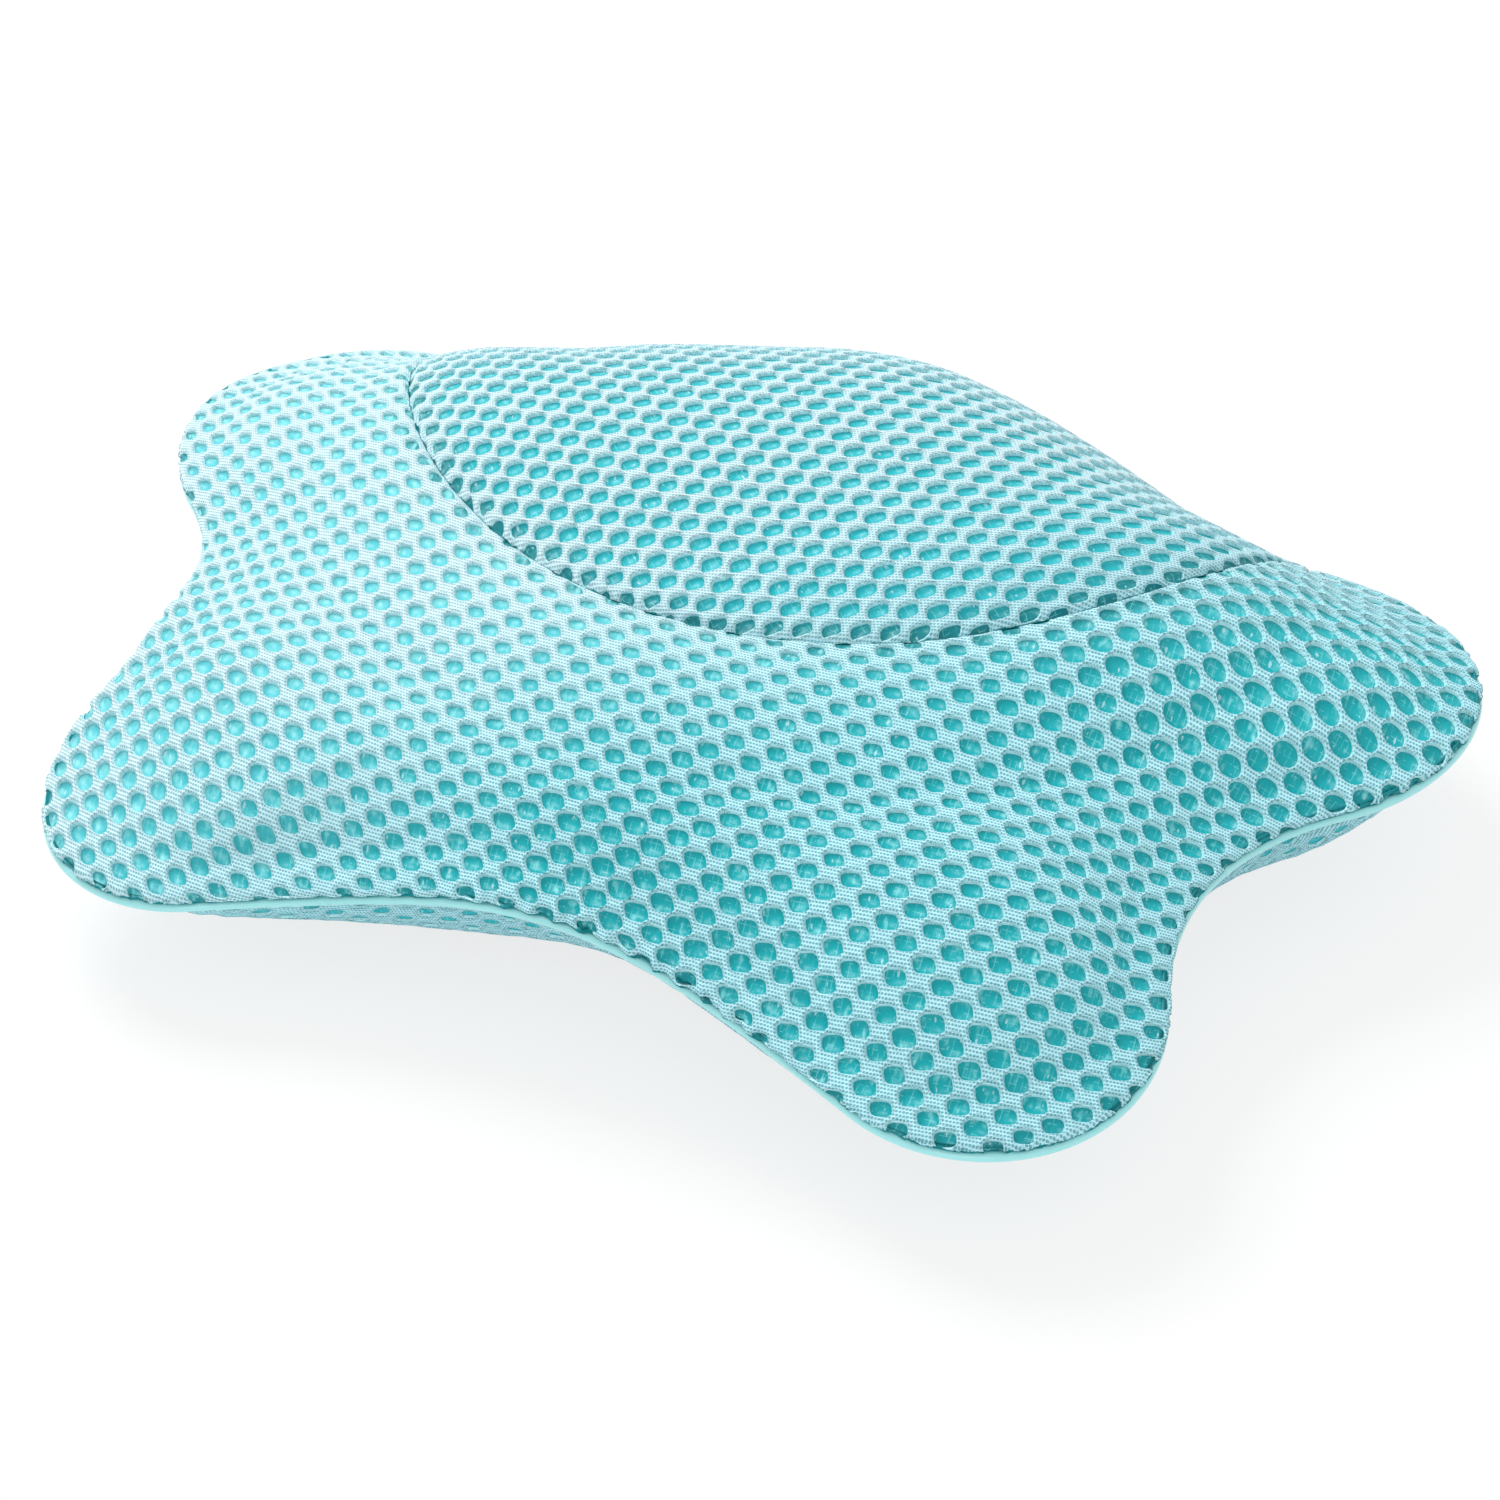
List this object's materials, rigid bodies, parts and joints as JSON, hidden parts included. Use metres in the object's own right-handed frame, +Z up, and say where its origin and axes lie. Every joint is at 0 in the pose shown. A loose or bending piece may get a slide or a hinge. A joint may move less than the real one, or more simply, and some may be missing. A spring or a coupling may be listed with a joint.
{
  "type": "bath pillow",
  "caption": "Star-shaped bath pillow in open spacer mesh with a domed round head panel, glossy piped edge and suction cups underneath.",
  "frame": {"origin": "middle of the footprint, on the plane of the suction cups' lips", "axes": "+X to the right across the arms, +Y towards the head lobe, +Z up through the crown"},
  "size_m": [0.3832, 0.291, 0.0861],
  "materials": {
    "top_mesh": "matte spacer mesh with large oval wells",
    "under_mesh": "matte spacer mesh",
    "fibre": "loose springy fibre",
    "piping_vinyl": "soft glossy vinyl",
    "piping_core": "plain",
    "patch_vinyl": "soft vinyl, welded edge",
    "cup_vinyl": "soft clear vinyl, glossy"
  },
  "bodies": {
    "pillow": {"head_panel": "top_mesh", "body_panel": "top_mesh", "bottom_panel": "under_mesh", "fibre_fill": "fibre", "piping_cover": "piping_vinyl", "piping_cord": "piping_core", "cup_patch_head": "patch_vinyl", "cup_patch_arm_right": "patch_vinyl", "cup_patch_arm_left": "patch_vinyl", "cup_patch_leg_right": "patch_vinyl", "cup_patch_leg_left": "patch_vinyl"},
    "cup_head": {"suction_cup_head": "cup_vinyl"},
    "cup_arm_right": {"suction_cup_arm_right": "cup_vinyl"},
    "cup_arm_left": {"suction_cup_arm_left": "cup_vinyl"},
    "cup_leg_right": {"suction_cup_leg_right": "cup_vinyl"},
    "cup_leg_left": {"suction_cup_leg_left": "cup_vinyl"}
  },
  "joints": [
    {"name": "cup_head_spin", "type": "hinge", "parent": "pillow", "child": "cup_head", "pos_m": [0, 0.07349, 0.0141], "axis": [0, 0, 1], "continuous": true},
    {"name": "cup_arm_right_spin", "type": "hinge", "parent": "pillow", "child": "cup_arm_right", "pos_m": [0.112, 0.03249, 0.0141], "axis": [0, 0, 1], "continuous": true},
    {"name": "cup_arm_left_spin", "type": "hinge", "parent": "pillow", "child": "cup_arm_left", "pos_m": [-0.112, 0.03249, 0.0141], "axis": [0, 0, 1], "continuous": true},
    {"name": "cup_leg_right_spin", "type": "hinge", "parent": "pillow", "child": "cup_leg_right", "pos_m": [0.088, -0.06351, 0.0141], "axis": [0, 0, 1], "continuous": true},
    {"name": "cup_leg_left_spin", "type": "hinge", "parent": "pillow", "child": "cup_leg_left", "pos_m": [-0.088, -0.06351, 0.0141], "axis": [0, 0, 1], "continuous": true}
  ]
}
